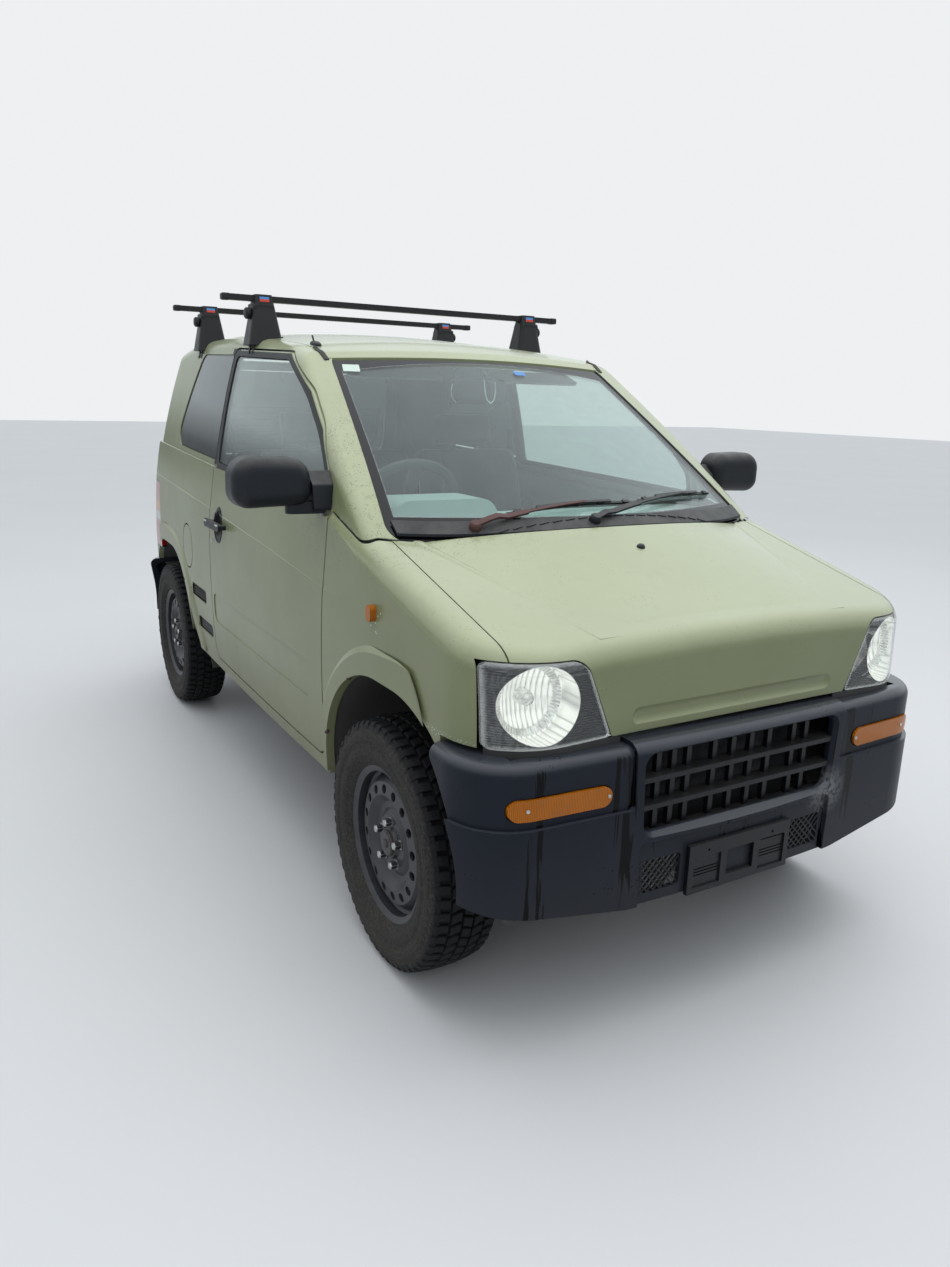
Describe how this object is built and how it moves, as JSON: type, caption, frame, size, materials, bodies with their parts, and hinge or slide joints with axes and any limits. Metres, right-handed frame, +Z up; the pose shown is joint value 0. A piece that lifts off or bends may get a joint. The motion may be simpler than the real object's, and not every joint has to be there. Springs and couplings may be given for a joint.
{
  "type": "kei car",
  "caption": "Tall three-door micro car with black bumpers, steel wheels, all-terrain tyres and two roof bars; doors, lids, steering and wheels move.",
  "frame": {"origin": "on the ground, midway between the two bumpers and on the centre line", "axes": "+X to the car's left side, +Y from the nose to the tail, +Z up"},
  "size_m": [1.876, 3.3936, 1.7669],
  "materials": {
    "body_paint": "satin olive green, sun-bleached, small scratches and road dirt",
    "black_plastic": "satin blue-black, scuffed",
    "pan_paint": "underbody coating, dusty",
    "clear_glass": "clear, faint green",
    "dark_glass": "dark tinted",
    "lamp_clear": "clear polycarbonate, slightly hazed",
    "lamp_bowl": "vacuum-metalled bowl",
    "lamp_amber": "clear amber",
    "lamp_red": "clear red",
    "wheel_black": "semi-gloss black",
    "tyre_rubber": "matt black, dusty",
    "trim_grey": "soft grained grey",
    "seat_cloth": "dark woven cloth",
    "cast_metal": "raw cast, oily",
    "steel_black": "chassis black, rusty edges",
    "exhaust_steel": "dull, surface rust",
    "radiator_alloy": "dusty fins",
    "handwheel_black": "grained black"
  },
  "bodies": {
    "body": {"floor_pan": "pan_paint", "body_side_right": "body_paint", "body_side_left": "body_paint", "roof_panel": "body_paint", "fenders": "body_paint", "cowl_panel": "black_plastic", "windscreen": "clear_glass", "quarter_glass": "dark_glass", "front_bumper": "black_plastic", "grille": "black_plastic", "rear_bumper": "black_plastic", "headlamps": "lamp_bowl", "headlamp_lenses": "lamp_clear", "amber_lamps": "lamp_amber", "tail_lamps": "lamp_red", "roof_rack": "steel_black", "dashboard": "trim_grey", "seats": "seat_cloth", "engine_block": "cast_metal", "fuel_tank": "steel_black", "exhaust": "exhaust_steel", "radiator": "radiator_alloy", "front_axle": "steel_black", "rear_axle": "steel_black"},
    "door_right": {"door_right": "body_paint", "door_glass_right": "clear_glass", "mirror_right": "black_plastic"},
    "door_left": {"door_left": "body_paint", "door_glass_left": "clear_glass", "mirror_left": "black_plastic"},
    "tailgate": {"tailgate": "body_paint", "tailgate_glass": "dark_glass"},
    "hood": {"hood": "body_paint"},
    "fuel_lid": {"fuel_lid": "body_paint"},
    "steering_wheel": {"steering_wheel": "handwheel_black"},
    "knuckle_right": {"knuckle_right": "cast_metal"},
    "knuckle_left": {"knuckle_left": "cast_metal"},
    "wheel_front_right": {"rim_front_right": "wheel_black", "tyre_front_right": "tyre_rubber"},
    "wheel_front_left": {"rim_front_left": "wheel_black", "tyre_front_left": "tyre_rubber"},
    "wheel_rear_right": {"rim_rear_right": "wheel_black", "tyre_rear_right": "tyre_rubber"},
    "wheel_rear_left": {"rim_rear_left": "wheel_black", "tyre_rear_left": "tyre_rubber"}
  },
  "joints": [
    {"name": "door_right_hinge", "type": "hinge", "parent": "body", "child": "door_right", "pos_m": [-0.724, -0.768, 0.75], "axis": [0, 0, 1], "range_deg": [0, 65]},
    {"name": "door_left_hinge", "type": "hinge", "parent": "body", "child": "door_left", "pos_m": [0.724, -0.768, 0.75], "axis": [0, 0, -1], "range_deg": [0, 65]},
    {"name": "tailgate_hinge", "type": "hinge", "parent": "body", "child": "tailgate", "pos_m": [0, 1.402, 1.597], "axis": [1, 0, 0], "range_deg": [0, 75]},
    {"name": "hood_hinge", "type": "hinge", "parent": "body", "child": "hood", "pos_m": [0, -1.01, 1.092], "axis": [-1, 0, 0], "range_deg": [0, 50]},
    {"name": "fuel_lid_hinge", "type": "hinge", "parent": "body", "child": "fuel_lid", "pos_m": [-0.722, 0.7085, 0.8], "axis": [0, 0, 1], "range_deg": [0, 80]},
    {"name": "steer_right", "type": "hinge", "parent": "body", "child": "knuckle_right", "pos_m": [-0.574, -1.1625, 0.192], "axis": [0.1394, 0, 0.9902], "range_deg": [-34, 34]},
    {"name": "steer_left", "type": "hinge", "parent": "body", "child": "knuckle_left", "pos_m": [0.574, -1.1625, 0.192], "axis": [-0.1394, 0, 0.9902], "range_deg": [-34, 34]},
    {"name": "wheel_front_right_spin", "type": "hinge", "parent": "knuckle_right", "child": "wheel_front_right", "pos_m": [-0.629, -1.1625, 0.326], "axis": [1, 0, 0], "continuous": true},
    {"name": "wheel_front_left_spin", "type": "hinge", "parent": "knuckle_left", "child": "wheel_front_left", "pos_m": [0.629, -1.1625, 0.326], "axis": [1, 0, 0], "continuous": true},
    {"name": "wheel_rear_right_spin", "type": "hinge", "parent": "body", "child": "wheel_rear_right", "pos_m": [-0.629, 1.1975, 0.326], "axis": [1, 0, 0], "continuous": true},
    {"name": "wheel_rear_left_spin", "type": "hinge", "parent": "body", "child": "wheel_rear_left", "pos_m": [0.629, 1.1975, 0.326], "axis": [1, 0, 0], "continuous": true},
    {"name": "handwheel_turn", "type": "hinge", "parent": "body", "child": "steering_wheel", "pos_m": [-0.335, -0.492, 1.085], "axis": [0, -0.848, -0.5299], "range_deg": [-560, 560]}
  ],
  "couplings": [
    {"joint": "steer_left", "follows": "steer_right", "ratio": 1},
    {"joint": "handwheel_turn", "follows": "steer_right", "ratio": -16}
  ]
}
